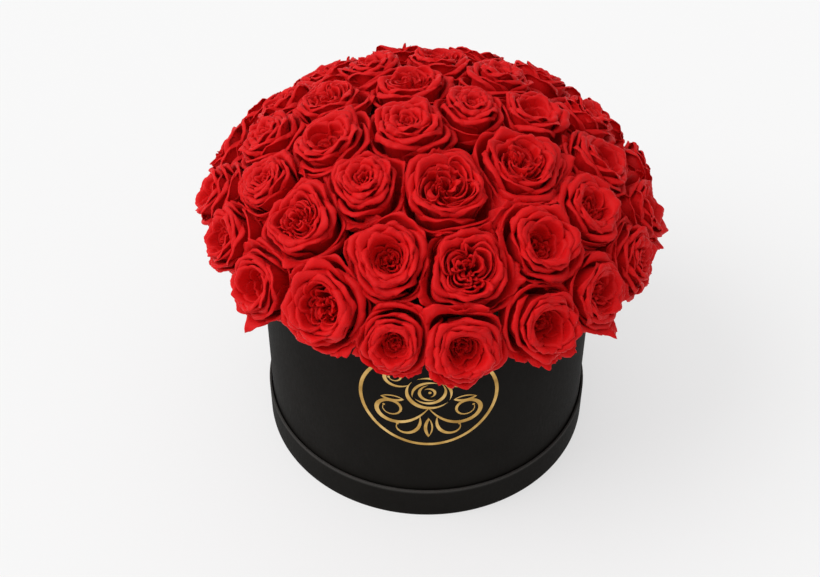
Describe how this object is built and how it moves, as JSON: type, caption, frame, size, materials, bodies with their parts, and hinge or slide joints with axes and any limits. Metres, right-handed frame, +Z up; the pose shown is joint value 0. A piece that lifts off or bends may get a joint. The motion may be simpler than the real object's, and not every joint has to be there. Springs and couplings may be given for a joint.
{
  "type": "flower box",
  "caption": "Round black hat box standing in its own lid, with a gold foil ring on its front and a low dome of red garden roses planted in floral foam.",
  "frame": {"origin": "centre of the lid's underside, on the surface that the box stands on", "axes": "+Z up along the box's own axis, -Y towards the front with the foil emblem, +X to the right seen from the front"},
  "size_m": [0.3746, 0.3787, 0.3277],
  "materials": {
    "rose_petals": "velvety red rose petals, darker and closer to maroon in the folds",
    "rose_green": "matte green stems, calyxes and sepals",
    "black_paper": "fine-grained matt black covering paper with a soft satin sheen",
    "greyboard": "plain pressed greyboard, matt and slightly fibrous",
    "gold_foil": "hot-stamped warm gold foil, satin",
    "liner_plastic": "thin black moulded plastic, matt",
    "polystyrene": "white expanded polystyrene with visible beads",
    "floral_foam": "dark green wet floral foam, fine open cells"
  },
  "bodies": {
    "lid": {"lid_panel": "greyboard", "lid_panel_paper": "black_paper", "lid_rim": "greyboard", "lid_rim_paper": "black_paper"},
    "box": {"box_floor": "greyboard", "box_floor_paper": "black_paper", "box_wall": "greyboard", "box_wall_paper": "black_paper", "emblem": "gold_foil"},
    "insert": {"liner": "liner_plastic", "riser": "polystyrene", "foam_lower_bricks": "floral_foam", "foam_upper_left": "floral_foam", "foam_upper_right": "floral_foam", "foam_offcuts": "floral_foam", "rose_top_1": "rose_petals", "rose_top_2": "rose_petals", "rose_top_3": "rose_petals", "rose_inner_1": "rose_petals", "rose_inner_2": "rose_petals", "rose_inner_3": "rose_petals", "rose_inner_4": "rose_petals", "rose_inner_5": "rose_petals", "rose_inner_6": "rose_petals", "rose_inner_7": "rose_petals", "rose_inner_8": "rose_petals", "rose_inner_9": "rose_petals", "rose_middle_1": "rose_petals", "rose_middle_2": "rose_petals", "rose_middle_3": "rose_petals", "rose_middle_4": "rose_petals", "rose_middle_5": "rose_petals", "rose_middle_6": "rose_petals", "rose_middle_7": "rose_petals", "rose_middle_8": "rose_petals", "rose_middle_9": "rose_petals", "rose_middle_10": "rose_petals", "rose_middle_11": "rose_petals", "rose_middle_12": "rose_petals", "rose_middle_13": "rose_petals", "rose_middle_14": "rose_petals", "rose_outer_1": "rose_petals", "rose_outer_2": "rose_petals", "rose_outer_3": "rose_petals", "rose_outer_4": "rose_petals", "rose_outer_5": "rose_petals", "rose_outer_6": "rose_petals", "rose_outer_7": "rose_petals", "rose_outer_8": "rose_petals", "rose_outer_9": "rose_petals", "rose_outer_10": "rose_petals", "rose_outer_11": "rose_petals", "rose_outer_12": "rose_petals", "rose_outer_13": "rose_petals", "rose_outer_14": "rose_petals", "rose_outer_15": "rose_petals", "rose_outer_16": "rose_petals", "rose_outer_17": "rose_petals", "rose_outer_18": "rose_petals", "rose_outer_19": "rose_petals"}
  },
  "joints": [
    {"name": "box_lift", "type": "slide", "parent": "lid", "child": "box", "axis": [0, 0, 1], "range_m": [0, 0.05]},
    {"name": "insert_lift", "type": "slide", "parent": "box", "child": "insert", "axis": [0, 0, 1], "range_m": [0, 0.25]}
  ]
}
